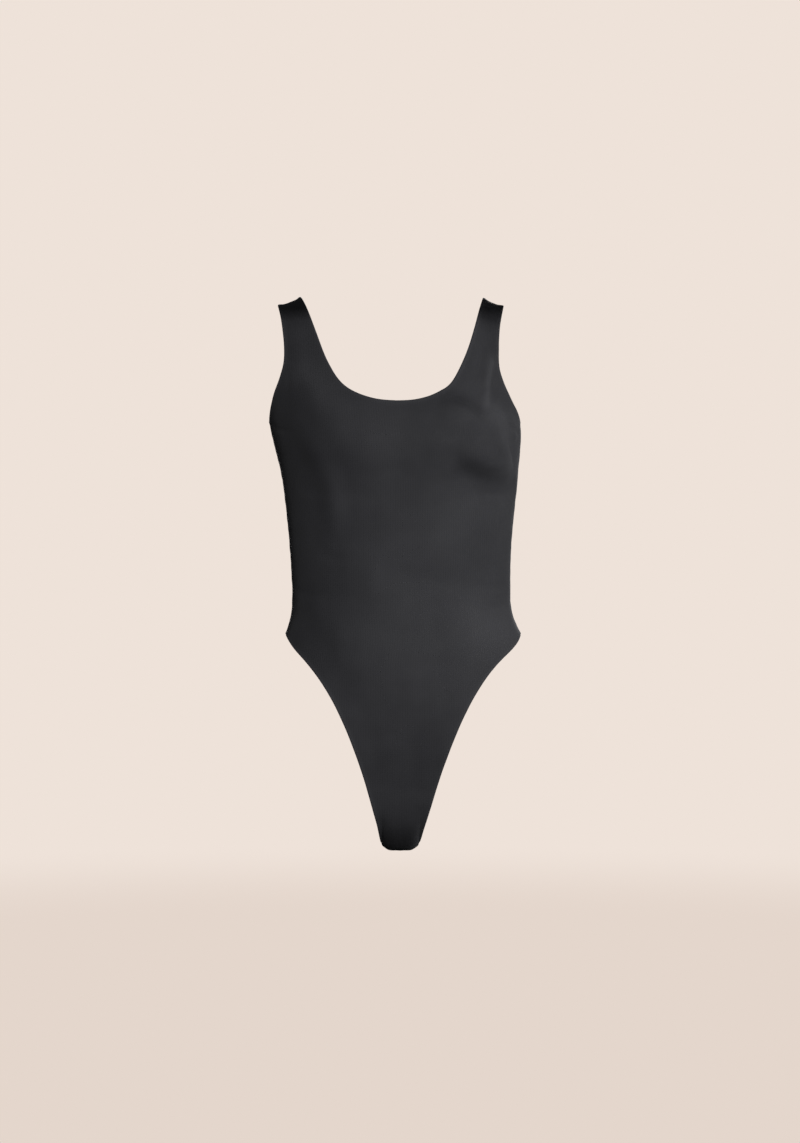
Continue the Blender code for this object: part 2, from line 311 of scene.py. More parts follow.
def spline(at, values, closed=False):
    """A cubic through values at the given places, smooth to the second derivative."""
    at = np.asarray(at, float)
    values = np.asarray(values, float).reshape(len(at), -1)
    gap = np.diff(at)
    slope = np.diff(values, axis=0) / gap[:, None]
    count = len(at)
    system = np.eye(count)
    bend = np.zeros_like(values)
    for i in range(1, count - 1):
        system[i, i - 1 : i + 2] = gap[i - 1], 2 * (gap[i - 1] + gap[i]), gap[i]
        bend[i] = 6 * (slope[i] - slope[i - 1])
    if closed:
        system[0, [0, 1, -2]] = 2 * (gap[0] + gap[-1]), gap[0], gap[-1]
        bend[0] = 6 * (slope[0] - slope[-1])
        system[-1, [0, -1]] = 1, -1
    bend = np.linalg.solve(system, bend)

    def curve(where):
        where = np.asarray(where, float)
        if closed:
            where = where % at[-1]
        k = np.clip(np.searchsorted(at, where) - 1, 0, count - 2)
        a = (where - at[k])[..., None]
        b = (at[k + 1] - where)[..., None]
        h = gap[k][..., None]
        out = (bend[k] * b**3 + bend[k + 1] * a**3) / (6 * h)
        out += (values[k] / h - bend[k] * h / 6) * b
        out += (values[k + 1] / h - bend[k + 1] * h / 6) * a
        return out

    return curve


def rounded(share):
    """Bends a sine or cosine from an ellipse to the form's squarer section."""
    return np.sign(share) * np.abs(share) ** (2 / SQUARENESS)


def smooth_step(t):
    """From 0 to 1 as t does, level at both ends."""
    t = np.clip(t, 0, 1)
    return t * t * (3 - 2 * t)


def bell(t):
    """1 where t is 0, and almost nothing from 2 on, to both sides."""
    return np.exp(-(t**2))


class Form:
    """The smooth form that the cloth lies on, in millimetres."""

    def __init__(self):
        loop = np.array(GIRTH + GIRTH[:1], float)
        self.stations = chords(loop)
        self.girth = spline(self.stations, loop, closed=True)
        sides = np.array(SIDES)[::-1]
        self.half_width = spline(sides[:, 0], sides[:, 1])

    def span(self, facing):
        """Stations of the shoulder seam and the crotch seam on one panel."""
        end = len(GIRTH) if facing > 0 else CREST
        return self.stations[end], self.stations[CROTCH]

    def height(self, x, girth):
        """Height of the surface, with the sloping shoulder and the curled crotch strip."""
        z = girth[..., 1]
        shoulder = 1 - smooth_step(-z / SHOULDER_REACH)
        crotch = smooth_step((CROTCH_CURL_TOP - z) / (CROTCH_CURL_TOP - CROTCH_HEIGHT))
        z = z - SHOULDER_SLOPE * shoulder * (x - SHOULDER_START)
        out = np.minimum(np.abs(x) / CROTCH_CURL_HALF, CROTCH_CURL_MOST)
        return z + CROTCH_CURL * crotch * out**CROTCH_CURL_POWER

    def bust(self, x, z):
        """How far the cloth stands out over the two halves of the bust."""
        up = z - BUST_HEIGHT
        up = up / np.where(up > 0, BUST_ABOVE, BUST_BELOW)
        rise = 0
        for side in (1, -1):
            across = side * x - BUST_OUT
            across = across / np.where(across > 0, BUST_OUTWARDS, BUST_INWARDS)
            rise = rise + np.exp(-(across**2) - up**2)
        return BUST_RISE * rise

    def point(self, across, station, facing):
        """Place on the surface: across is 0 at the middle and 1 at the side seam."""
        turn = across * np.pi / 2
        girth = self.girth(station)
        x = self.half_width(girth[..., 1])[..., 0] * rounded(np.sin(turn))
        z = self.height(x, girth)
        depth = girth[..., 0]
        if facing < 0:
            depth = depth - self.bust(x, z)
        return np.stack([x, depth * rounded(np.cos(turn)), z], axis=-1)

    def normal(self, across, station, facing):
        """Outwards from the surface."""
        along = self.point(across, station + NUDGE, facing)
        along -= self.point(across, station - NUDGE, facing)
        over = self.point(across + NUDGE / STATION_SCALE, station, facing)
        over -= self.point(across - NUDGE / STATION_SCALE, station, facing)
        out = np.cross(along, over)
        return out / np.linalg.norm(out, axis=-1, keepdims=True)

    def laid(self, edge, facing):
        """(across, station) of points that are given as seen from the front."""
        places = []
        stations = np.linspace(*self.span(facing), SAMPLES)
        for x, z in edge:
            heights = self.height(x, self.girth(stations))
            station = np.interp(-z, -heights, stations)
            half = self.half_width(self.girth(station)[..., 1])[0]
            share = min(x / half, 1.0) ** (SQUARENESS / 2)
            places.append((np.arcsin(share) * 2 / np.pi, station))
        return np.array(places)

    def flattener(self, facing):
        """Turns (across, station) into millimetres across and along the cloth."""
        start, end = self.span(facing)
        stations = np.linspace(start, end, FLAT_STATIONS)
        across = np.linspace(0, 1, FLAT_ACROSS)
        points = self.point(across[None, :], stations[:, None], facing)
        steps = np.linalg.norm(np.diff(points, axis=1), axis=2)
        widths = np.concatenate([np.zeros((FLAT_STATIONS, 1)), np.cumsum(steps, 1)], 1)

        def flat(over, station):
            row = np.clip((station - start) / (end - start), 0, 1) * (FLAT_STATIONS - 1)
            column = np.clip(over, 0, 1) * (FLAT_ACROSS - 1)
            i = np.minimum(row.astype(int), FLAT_STATIONS - 2)
            k = np.minimum(column.astype(int), FLAT_ACROSS - 2)
            a, b = row - i, column - k
            upper = widths[i, k] * (1 - b) + widths[i, k + 1] * b
            lower = widths[i + 1, k] * (1 - b) + widths[i + 1, k + 1] * b
            return np.stack([upper * (1 - a) + lower * a, np.abs(station - start)], -1)

        return flat


def paced(steps, ends):
    """From 0 to 1, with shorter steps towards the last end, or towards both."""
    t = np.linspace(0, 1, steps + 1)
    if ends == 2:
        return t - EDGE_PACE * np.sin(2 * np.pi * t) / (2 * np.pi)
    return t + EDGE_PACE * np.sin(np.pi * t) / np.pi


def run(points, courses):
    """Places along a smooth curve through a few points, closer towards its ends."""
    at = chords(points)
    return spline(at, points)(at[-1] * paced(courses, 2))


def edge_run(form, edge, facing, courses):
    """A cut edge as (across, station), a place for each course."""
    return form.laid(run(np.array(edge, float), courses), facing)


def straight(start, end, pace):
    """Places on the straight way from start to end, as far along it as pace says."""
    t = pace[:, None]
    return np.array(start) * (1 - t) + np.array(end) * t


def half_places(form, panel):
    """(across, station) of the +X half: a row for each course, from inner to outer edge."""
    neck = edge_run(form, panel.neck, panel.facing, STRAP_COURSES)
    armhole = edge_run(form, panel.armhole, panel.facing, STRAP_COURSES)
    leg = edge_run(form, panel.leg, panel.facing, LEG_COURSES)
    armhole[-1, 0] = leg[0, 0] = 1.0
    neck[0, 1] = armhole[0, 1] = form.span(panel.facing)[0]
    waist = np.linspace(0, 1, WAIST_COURSES + 1)
    hip = form.laid([(0, HIP_MIDDLE)], panel.facing)[0]
    crotch = (0.0, leg[-1, 1])
    down_middle = straight(neck[-1], hip, waist)
    to_crotch = straight(hip, crotch, paced(LEG_COURSES, 2))
    side_seam = straight(armhole[-1], leg[0], waist)
    inner = np.concatenate([neck, down_middle[1:], to_crotch[1:]])[:, None]
    outer = np.concatenate([armhole, side_seam[1:], leg[1:]])[:, None]
    strip = paced(STRIPS, 1)[None, :, None]
    return inner * (1 - strip) + outer * strip


def from_line(points, line):
    """Distance of each point from a line of joined pieces, how far along it is nearest, and
    on which side: 1 to the left and -1 to the right, on the flat cloth."""
    shape = points.shape[:-1]
    flat = points.reshape(-1, points.shape[-1])
    least = np.full(len(flat), np.inf)
    where = np.zeros(len(flat))
    hand = np.ones(len(flat))
    for k, (a, b) in enumerate(zip(line, line[1:])):
        way = b - a
        out = flat - a
        t = np.clip(out @ way / max(way @ way, SHORTEST), 0, 1)
        gap = np.linalg.norm(out - t[:, None] * way, axis=1)
        nearer = gap < least
        least[nearer] = gap[nearer]
        where[nearer] = (k + t[nearer]) / (len(line) - 1)
        hand[nearer] = np.sign(way[0] * out[nearer, 1] - way[1] * out[nearer, 0])
    return least.reshape(shape), where.reshape(shape), hand.reshape(shape)


def flat_line(form, panel, flat, points):
    """A smooth line on the flat cloth through points that are seen from the front."""
    points = np.array(points, float)
    sign = np.where(points[:, 0] < 0, -1, 1)
    across, station = form.laid(np.abs(points * (1, 0)) + points * (0, 1), panel.facing).T
    line = flat(across, station) * np.stack([sign, np.ones_like(sign)], 1)
    at = chords(line)
    return spline(at, line)(np.linspace(0, at[-1], CREASE_SAMPLES))


def painted_light_share(form, panel, flat, places, side):
    """Share of painted highlight, up to 1, and of painted shade, below 0, on one side."""
    out = np.zeros(places.shape[:2])
    for taut in panel.taut:
        line = flat_line(form, panel, flat, taut.points)
        gap, _, hand = from_line(places * (side, 1), line)
        width = np.where(hand > 0, taut.width * taut.edge, taut.width)
        out += taut.share * bell(gap / width)
    return np.clip(out, -MOST_PAINTED_SHADE, 1)


def creased(form, panel, flat, places, side, depth):
    """How far the creases and slow waves move the cloth outwards, on one side."""
    out = np.zeros(places.shape[:2])
    here = places * (side, 1)
    for crease in panel.creases:
        line = flat_line(form, panel, flat, crease.points)
        gap, along, hand = from_line(here, line)
        gap = gap / crease.width
        taper = depth * np.sin(np.pi * np.clip(along, 0, 1)) ** CREASE_TAPER
        out -= crease.depth * taper * bell(gap) * (1 - CREASE_SHOULDER * gap**2)
        if crease.fold:
            # The flat cloth's second axis runs down, so its left is right seen from the front
            out -= crease.fold * taper * hand * np.tanh(gap) * bell(gap / FOLD_SPREAD)
    for wave in WAVES:
        turn = 2 * np.pi * (here[..., 0] / wave.across + here[..., 1] / wave.along)
        other = 2 * np.pi * (here[..., 0] / wave.along - here[..., 1] / wave.across)
        out += wave.rise * depth * np.sin(turn + wave.turn) * np.cos(other)
    return out


def borders(points):
    """The +X half's turned edges and its seams, as runs of places on the form."""
    hip = STRAP_COURSES + WAIST_COURSES
    turned = (
        points[: STRAP_COURSES + 1, 0],
        points[: STRAP_COURSES + 1, -1],
        points[hip:, -1],
    )
    seams = (points[0], points[-1], points[STRAP_COURSES : hip + 1, -1])
    return turned, seams


def half_faces(form, panel, side, props):
    """One side of a panel: its outer and inner face in millimetres and its normals, all on the
    +X side, its places on the flat cloth, how far they are from edges and seams, and its share
    of painted highlight and painted shade."""
    places = half_places(form, panel)
    across, station = np.moveaxis(places, -1, 0)
    middle = form.point(across, station, panel.facing)
    normal = form.normal(across, station, panel.facing)
    flat = form.flattener(panel.facing)
    spread = flat(across, station)
    turned, seams = borders(middle)
    edge = np.min([from_line(middle, line)[0] for line in turned], axis=0)
    seam = np.min([from_line(middle, line)[0] for line in seams], axis=0)
    shoulder = from_line(middle, seams[0])[0]

    rise = creased(form, panel, flat, spread, side, props.crease_depth)
    rise *= 1 - bell(seam / SEAM_HOLD)
    sag = CREST_SAG * (1 - bell(edge / CREST_SAG_EDGE))
    rise -= sag * bell(shoulder / CREST_SAG_LENGTH)
    rise += ALLOWANCE_RISE * (1 - smooth_step((seam - ALLOWANCE) / ALLOWANCE_FADE))
    rise -= props.seam_groove / MM * bell(seam / SEAM_DIP_REACH)
    # Across and down together grow along any seam, whichever way it runs
    run_on = spread[..., 0] * side + spread[..., 1]
    pucker = sum(np.sin(2 * np.pi * run_on / length + side * length) for length in PUCKERS)
    rise += PUCKER_RISE * props.crease_depth * pucker * bell(seam / PUCKER_REACH)
    roll = props.edge_roll / MM * bell(edge / EDGE_REACH)
    wall = props.wall / MM

    outer = middle + (rise + roll)[..., None] * normal
    inner = middle + (rise - roll - wall)[..., None] * normal
    for points in (outer, inner):
        points[..., 1] += panel.facing * SEAM_GAP / 2
    # Share of painted highlight and painted shade on this side
    taut = painted_light_share(form, panel, flat, spread, side)
    spread = spread * (side, 1)
    return outer, inner, normal, spread, edge, seam, taut


def leaned(points):
    """Points in metres, with the hips moved over from the shoulders."""
    lean = LEAN * smooth_step((LEAN_TOP - points[..., 2]) / (LEAN_TOP - LEAN_BOTTOM))
    x, z = points[..., 0], points[..., 2]
    for pull in PULLS:
        near = ((x - pull.x) / pull.across) ** PULL_POWER + ((z - pull.z) / pull.up) ** 2
        lean = lean + pull.by * np.exp(-near)
    out = points.copy()
    out[..., 0] += lean
    return out * MM


def numbered():
    """Vertex numbers of a panel's two halves, which share the middle below the neck."""
    rows, columns = STRAP_COURSES + WAIST_COURSES + LEG_COURSES + 1, STRIPS + 1
    right = np.arange(rows * columns).reshape(rows, columns)
    left = np.full((rows, columns), -1)
    left[:, 1:] = rows * columns + np.arange(rows * STRIPS).reshape(rows, STRIPS)
    left[:STRAP_COURSES, 0] = rows * columns + rows * STRIPS + np.arange(STRAP_COURSES)
    left[STRAP_COURSES:, 0] = right[STRAP_COURSES:, 0]
    return right, left


def gathered(right, left, grids):
    """One row for each vertex number, from the values of the two halves."""
    count = max(right.max(), left.max()) + 1
    out = np.zeros((count,) + grids[0].shape[2:])
    out[left] = grids[1]
    out[right] = grids[0]
    return out


def outline(right, left):
    """Vertex numbers round a panel: shoulder, side, crotch, other side, shoulder, neck."""
    return np.concatenate(
        [
            right[0, :-1],
            right[:-1, -1],
            right[-1, :0:-1],
            left[-1, :-1],
            left[:0:-1, -1],
            left[0, :0:-1],
            left[:STRAP_COURSES, 0],
            right[STRAP_COURSES:0:-1, 0],
        ]
    )


def rolled_rim(panel, top, low, normal, seam):
    """Rings of points round a panel, from the edge of its outer face to that of its inner."""
    way = np.roll(top, -1, axis=0) - np.roll(top, 1, axis=0)
    out = -panel.facing * np.cross(normal, way)
    out /= np.linalg.norm(out, axis=1, keepdims=True)
    half_wall = (top - low) / 2
    bulge = np.linalg.norm(half_wall, axis=1)
    bulge = np.where(seam < SEAM_NEAR, SEAM_BULGE, bulge)[:, None]
    return [
        (top + low) / 2 + half_wall * np.cos(turn) + out * bulge * np.sin(turn)
        for turn in np.linspace(0, np.pi, RIM_STEPS + 1)[1:-1]
    ]


def panel_faces(right, left, ring, count):
    """Vertex numbers of all faces, where each of the two sides of the cloth has count points."""
    faces = []
    for grid, flip in ((right, False), (left, True)):
        quads = np.stack([grid[:-1, :-1], grid[1:, :-1], grid[1:, 1:], grid[:-1, 1:]], -1)
        quads = quads.reshape(-1, 4)
        for lift, turned in ((0, flip), (count, not flip)):
            faces.append(quads[:, ::-1] + lift if turned else quads + lift)
    steps = range(RIM_STEPS - 1)
    between = (2 * count + k * len(ring) + np.arange(len(ring)) for k in steps)
    rings = [ring, *between, ring + count]
    for a, b in zip(rings, rings[1:]):
        faces.append(np.stack([a, b, np.roll(b, -1), np.roll(a, -1)], 1))
    return np.concatenate(faces)


def closed_mesh(name, points, faces):
    """A mesh whose faces all point outwards."""
    data = bpy.data.meshes.new(name)
    data.from_pydata(points, [], faces.tolist())
    data.validate()
    shell = bmesh.new()
    shell.from_mesh(data)
    bmesh.ops.recalc_face_normals(shell, faces=shell.faces)
    shell.to_mesh(data)
    shell.free()
    return data


def panel_mesh(form, panel, props):
    """Both faces of a panel, the rolled rim between them, and what the material reads."""
    halves = [half_faces(form, panel, side, props) for side in (1, -1)]
    for points in halves[1][:3]:
        points *= (-1, 1, 1)
    right, left = numbered()
    outer, inner, normal, spread, edge, seam, taut = (
        gathered(right, left, pair) for pair in zip(*halves)
    )
    ring = outline(right, left)
    rim = rolled_rim(panel, outer[ring], inner[ring], normal[ring], seam[ring])
    points = leaned(np.concatenate([outer, inner, *rim]))
    faces = panel_faces(right, left, ring, len(outer))
    data = closed_mesh(panel.name + "_cloth", points, faces)

    # The material reads the flat cloth, rubbed edges, painted shade along seams, and painted
    # highlight and shade along lines
    marks = (spread, bell(edge / EDGE_RUB), bell(seam / SEAM_SHADE), taut)
    each = [np.concatenate([value, value, *[value[ring]] * len(rim)]) for value in marks]
    corners = np.empty(len(data.loops), np.int32)
    data.loops.foreach_get("vertex_index", corners)
    layer = data.uv_layers.new(name="cloth")
    layer.data.foreach_set("uv", (each[0][corners] * MM).astype(np.float32).ravel())
    for name, value in zip(("turned_edge", "seam_line", "stretch"), each[1:]):
        attribute = data.attributes.new(name, "FLOAT", "POINT")
        attribute.data.foreach_set("value", value.astype(np.float32))
    data.shade_smooth()
    data.set_sharp_from_angle(angle=np.radians(SHARP_DEGREES))
    return data


# ------------------------ material

JERSEY = "double_jersey_knit"
WALE_TO_COURSE = 0.82  # a loop is a little wider than tall
KNIT_HEIGHT = 0.18 * MM
KNIT_BUMP = 0.32
LOOP_SHARE = 0.28  # of the relief, on top of the furrows between the columns of loops
YARN_SHARE = 0.35  # and of single yarns
DYE_CLOUD = 71.43 * MM  # width of a place that took the dye a little more, or less
YARN_FLECK = 1.613 * MM  # coarser than a yarn, which is too fine to show in the picture
RUB_SHARE = 0.16  # how far a turned edge takes the rubbed tone
SEAM_PAINTED_SHADE_SHARE = 0.35  # and a seam the painted shade of its groove
# Painted shade along a seam's groove
SEAM_GROOVE_PAINTED_SHADE = linear("#0d0d0e")
SHEEN_TONE = linear("#e1e1e7")
MIX_A, MIX_B, MIXED = 6, 7, 2  # a Mix node's sockets for colours


def new_material(name):
    """A material and its empty node tree."""
    material = bpy.data.materials.new(name)
    material.use_nodes = True
    material.node_tree.nodes.clear()
    return material, material.node_tree


def add(tree, kind, links=None, **settings):
    """A node with its settings, and for each input a value or the output that feeds it."""
    node = tree.nodes.new("ShaderNode" + kind)
    for key, value in settings.items():
        setattr(node, key, value)
    for key, value in (links or {}).items():
        if isinstance(value, bpy.types.NodeSocket):
            tree.links.new(value, node.inputs[key])
        else:
            node.inputs[key].default_value = value
    return node


def knit_relief(tree, wale):
    """Slanted loops in columns with furrows between them, on the flat cloth.

    Real jersey has 16 columns to the centimetre, too fine for a picture this size, so they are
    drawn as wide as the settings say.
    """
    cloth = add(tree, "UVMap", uv_map="cloth")
    across = add(tree, "SeparateXYZ", {"Vector": cloth.outputs["UV"]})
    column = add(tree, "Math", {0: across.outputs["X"], 1: wale}, operation="DIVIDE")
    share = add(tree, "Math", {0: column.outputs[0]}, operation="FRACT")
    off = add(tree, "Math", {0: share.outputs[0], 1: 0.5}, operation="SUBTRACT")
    side = add(tree, "Math", {0: off.outputs[0]}, operation="ABSOLUTE")
    tall = {0: across.outputs["Y"], 1: wale * WALE_TO_COURSE}
    course = add(tree, "Math", tall, operation="DIVIDE")
    slant = add(tree, "Math", {0: side.outputs[0], 1: course.outputs[0]}, operation="ADD")
    turn = add(tree, "Math", {0: slant.outputs[0], 1: 2 * np.pi}, operation="MULTIPLY")
    loop = add(tree, "Math", {0: turn.outputs[0]}, operation="SINE")
    furrow = add(
        tree, "MapRange",
        {"Value": side.outputs[0], "From Min": 0.30, "From Max": 0.5, "To Min": 1.0, "To Max": 0.0},
        interpolation_type="SMOOTHSTEP",
    )
    relief = {0: loop.outputs[0], 1: LOOP_SHARE, 2: furrow.outputs["Result"]}
    return add(tree, "Math", relief, operation="MULTIPLY_ADD").outputs[0]


def yarn_colour(tree, props, place, yarns, knit):
    """Dye takes a little unevenly and single yarns differ, and a rubbed edge is paler.  Painted
    highlights and shade lie along some lines, and painted shade between loops and along seams."""
    cloud = {"Vector": place, "Scale": 1 / DYE_CLOUD, "Detail": 3.0, "Roughness": 0.55}
    slow = add(tree, "TexNoise", cloud)
    dyed = add(tree, "MapRange", {"Value": slow.outputs["Fac"], "From Min": 0.35, "From Max": 0.65})
    tones = {"Factor": dyed.outputs["Result"], MIX_A: props.yarn[:], MIX_B: props.yarn_pale[:]}
    base = add(tree, "Mix", tones, data_type="RGBA")
    fleck = add(
        tree, "MapRange",
        {"Value": yarns, "From Min": 0.3, "From Max": 0.7, "To Min": 0.94, "To Max": 1.06},
    )
    # Painted shade: the colour is darker where the knit's relief is low, in the furrows between
    # loops
    depth = add(
        tree, "MapRange",
        {"Value": knit, "From Min": -0.2, "From Max": 1.2, "To Min": 0.90, "To Max": 1.05},
    )
    detail = {0: fleck.outputs["Result"], 1: depth.outputs["Result"]}
    both = add(tree, "Math", detail, operation="MULTIPLY")
    # Painted highlight and shade: above 0 the colour moves towards the pale tone, below 0 away from
    # it and darker
    painted_light_mark = add(tree, "Attribute", attribute_name="stretch")
    pull = {"Factor": painted_light_mark.outputs["Fac"], MIX_A: base.outputs[MIXED], MIX_B: props.taut[:]}
    pulled = add(tree, "Mix", pull, data_type="RGBA", clamp_factor=False)
    lit = {0: pulled.outputs[MIXED], "Scale": both.outputs[0]}
    shaded = add(tree, "VectorMath", lit, operation="SCALE").outputs["Vector"]
    # A rubbed edge is paler with wear; along a seam the colour is painted darker, as shade in its
    # groove
    for name, most, tone in (
        ("turned_edge", RUB_SHARE, props.rubbed[:]),
        ("seam_line", SEAM_PAINTED_SHADE_SHARE, SEAM_GROOVE_PAINTED_SHADE),
    ):
        mark = add(tree, "Attribute", attribute_name=name)
        share = add(tree, "Math", {0: mark.outputs["Fac"], 1: most}, operation="MULTIPLY")
        worn = {"Factor": share.outputs[0], MIX_A: shaded, MIX_B: tone}
        shaded = add(tree, "Mix", worn, data_type="RGBA").outputs[MIXED]
    return shaded


def jersey(props):
    """Double jersey: matte polyester yarn with elastane, knitted fine and dyed near black.

    Its rows of small slanted loops scatter the light, so it looks soft and flat, with a faint
    sheen where it turns away.
    """
    material = bpy.data.materials.get(JERSEY)
    if material:
        return material
    material, tree = new_material(JERSEY)
    place = add(tree, "TexCoord").outputs["Object"]
    fine = {"Vector": place, "Scale": 1 / YARN_FLECK, "Detail": 2.0, "Roughness": 0.6}
    yarns = add(tree, "TexNoise", fine).outputs["Fac"]
    knit = knit_relief(tree, props.wale)
    rough = add(
        tree, "MapRange",
        {"Value": yarns, "From Min": 0.3, "From Max": 0.7, "To Min": 0.7, "To Max": 0.82},
    )
    pile = add(tree, "Math", {0: yarns, 1: YARN_SHARE, 2: knit}, operation="MULTIPLY_ADD")
    raised = {"Strength": KNIT_BUMP, "Distance": KNIT_HEIGHT, "Height": pile.outputs[0]}
    bump = add(tree, "Bump", raised)
    shader = add(
        tree, "BsdfPrincipled",
        {
            "Base Color": yarn_colour(tree, props, place, yarns, knit),
            "Roughness": rough.outputs["Result"],
            "Normal": bump.outputs["Normal"],
            "Metallic": 0.0,
            "IOR": 1.5,
            "Specular IOR Level": 0.26,
            "Sheen Weight": props.sheen,
            "Sheen Roughness": 0.45,
            "Sheen Tint": SHEEN_TONE,
        },
    )
    add(tree, "OutputMaterial", {"Surface": shader.outputs["BSDF"]})
    return material


# ------------------------ settings


class ClothSettings(bpy.types.PropertyGroup):
    """Sizes and finish of the jersey."""

    wall: FloatProperty(
        name="Thickness", description="Thickness of the two layers of jersey",
        default=1.6 * MM, min=0.2 * MM, max=4 * MM, unit="LENGTH", precision=5,
    )
    edge_roll: FloatProperty(
        name="Edge roll", description="How much a turned edge stands out on each face",
        default=0.35 * MM, unit="LENGTH", precision=5,
    )
    seam_groove: FloatProperty(
        name="Seam groove", description="How far the cloth sinks along a seam",
        default=0.4 * MM, unit="LENGTH", precision=5,
    )
    crease_depth: FloatProperty(
        name="Crease depth", description="Share of the full depth of every crease",
        default=1.0, min=0.0, max=2.0, subtype="FACTOR",
    )
    wale: FloatProperty(
        name="Knit spacing", description="Width of one drawn column of loops",
        default=2.8 * MM, unit="LENGTH", precision=5,
    )
    yarn: FloatVectorProperty(
        name="Yarn", description="Darker tone of the dyed yarn",
        default=linear("#2c2c2f"), size=4, subtype="COLOR",
    )
    yarn_pale: FloatVectorProperty(
        name="Pale yarn", description="Lighter tone of the dyed yarn",
        default=linear("#323235"), size=4, subtype="COLOR",
    )
    # Painted highlight: the tone that lines of painted light bring the yarn towards, and away from
    # for painted shade
    taut: FloatVectorProperty(
        name="Taut knit", description="Tone of the yarn where the knit is pulled wide open",
        default=linear("#48484b"), size=4, subtype="COLOR",
    )
    rubbed: FloatVectorProperty(
        name="Rubbed edge", description="Tone of the yarn where an edge is rubbed",
        default=linear("#4a4a4e"), size=4, subtype="COLOR",
    )
    sheen: FloatProperty(
        name="Sheen", description="Strength of the soft shine at grazing angles",
        default=0.12, min=0.0, max=1.0, subtype="FACTOR",
    )


class StageSettings(bpy.types.PropertyGroup):
    """Backdrop, light and camera."""

    backdrop: FloatVectorProperty(
        name="Backdrop", description="Colour of the paper behind the bodysuit",
        default=linear("#eee2d9"), size=4, subtype="COLOR",
    )
    floor: FloatVectorProperty(
        name="Floor", description="Colour of the floor",
        default=linear("#e4d6cc"), size=4, subtype="COLOR",
    )
    floor_drop: FloatProperty(
        name="Floor drop", description="How far the floor lies below the shoulders",
        default=0.90, unit="LENGTH",
    )
    distance: FloatProperty(
        name="Camera distance", description="From the camera to the plane of the shoulders",
        default=3.0, unit="LENGTH",
    )
    key: FloatProperty(
        name="Key light",
        description="Power of the soft box in front, to the right of the camera, in watts",
        default=36.0, unit="POWER",
    )
    fill: FloatProperty(
        name="Fill light",
        description="Power of the lamp between the key and the side light, in watts",
        default=10.0, unit="POWER",
    )
    side: FloatProperty(
        name="Side light", description="Power of the lamp level with the right side, in watts",
        default=7.5, unit="POWER",
    )
    back: FloatProperty(
        name="Back light", description="Power of the high light behind the bodysuit, in watts",
        default=30.0, unit="POWER",
    )
    back_fill: FloatProperty(
        name="Back fill light",
        description="Power of the soft light straight behind the bodysuit, in watts",
        default=18.0, unit="POWER",
    )
    left: FloatProperty(
        name="Left light",
        description="Power of the weak lamp level with the left side, in watts",
        default=2.4, unit="POWER",
    )
    ambient: FloatProperty(
        name="Room light", description="Strength of the even light of the room",
        default=0.045, min=0.0,
    )


# ------------------------ pieces

BODY = "root"


def add_panel(context, panel):
    """One cloth panel as a piece that stands for its CAD node."""
    props = context.scene.bodysuit_cloth
    data = panel_mesh(Form(), panel, props)
    piece = bpy.data.objects.new(panel.name + "_cloth", data)
    context.scene.collection.objects.link(piece)
    data.materials.append(jersey(props))
    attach(piece, BODY)
    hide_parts(panel.name)


class BODYSUIT_OT_front_panel(bpy.types.Operator):
    """Model the front panel, from the straps to the crotch seam"""

    bl_idname = "bodysuit.front_panel"
    bl_label = "Front panel"
    bl_options = {"REGISTER", "UNDO"}

    def execute(self, context):
        add_panel(context, FRONT_PANEL)
        return {"FINISHED"}


class BODYSUIT_OT_back_panel(bpy.types.Operator):
    """Model the back panel, from the straps to the crotch seam"""

    bl_idname = "bodysuit.back_panel"
    bl_label = "Back panel"
    bl_options = {"REGISTER", "UNDO"}

    def execute(self, context):
        add_panel(context, BACK_PANEL)
        return {"FINISHED"}


# ------------------------ stage

# The picture's size in pixels, where the origin falls in it, its scale and the camera's turn
Photo = namedtuple("Photo", "width height origin_x origin_y mm_per_pixel turn")
PHOTO = Photo(800, 1143, 391.0, 297.5, 1.173, -1.5)
SENSOR = 36.0
DOME_RADIUS = 9.0
FLOOR_RADIUS = 1.88  # its far edge falls where the picture's paper turns up
FLOOR_FADE = 0.55

# In degrees and metres.  Each lamp has its power from the setting of the same name.
Lamp = namedtuple("Lamp", "name turn lift distance width height")
LAMPS = (
    Lamp("key", 16, 9, 2.3, 0.8, 0.5),
    Lamp("fill", 54, 12, 2.3, 0.6, 0.6),
    Lamp("side", 94, 12, 2.3, 0.6, 0.9),
    Lamp("back", 172, 26, 2.4, 0.8, 0.8),
    Lamp("back_fill", 186, 2, 2.4, 0.8, 1.2),
    Lamp("left", 262, 10, 2.4, 0.6, 1.0),
)
LIT_HEIGHT = -0.33  # the lamps point at this height
ROOM_TONE = linear("#fffdfb")
DIM_FROM = 0.7  # square of a direction's rise from which the room is at its dimmest
DIMMEST = 0.15  # and its share of the light there

# Nets close in front that hold most of the light off the tops of the straps and the crotch
Net = namedtuple("Net", "name turn distance low high passes")
NET_WIDTH = 0.5
NETS = (
    Net("upper_net", 0, 0.095, -0.022, 0.20, 0.20),
    Net("upper_side_net", 90, 0.19, -0.024, 0.20, 0.08),
    Net("lower_net", 0, 0.135, -0.85, -0.598, 0.08),
)
BOUNCES = ("diffuse", "glossy", "transmission", "volume_scatter")


def unseen_by(piece, rays):
    """Makes these kinds of ray pass by a piece."""
    for kind in rays:
        setattr(piece, "visible_" + kind, False)


def add_net(context, net):
    """An upright net that the camera doesn't see: it only dims the lamps behind it."""
    turn = np.radians(net.turn)
    x, y = net.distance * np.sin(turn), -net.distance * np.cos(turn)
    middle = (x, y, (net.low + net.high) / 2)
    bpy.ops.mesh.primitive_plane_add(size=1, location=middle, rotation=(np.pi / 2, 0, turn))
    piece = context.object
    piece.name = net.name
    piece.scale = (NET_WIDTH, net.high - net.low, 1)
    bpy.ops.object.transform_apply()
    unseen_by(piece, (*BOUNCES, "camera"))
    material, tree = new_material(net.name + "_mesh")
    weave = add(tree, "BsdfTransparent", {"Color": (net.passes,) * 3 + (1,)})
    add(tree, "OutputMaterial", {"Surface": weave.outputs["BSDF"]})
    piece.data.materials.append(material)


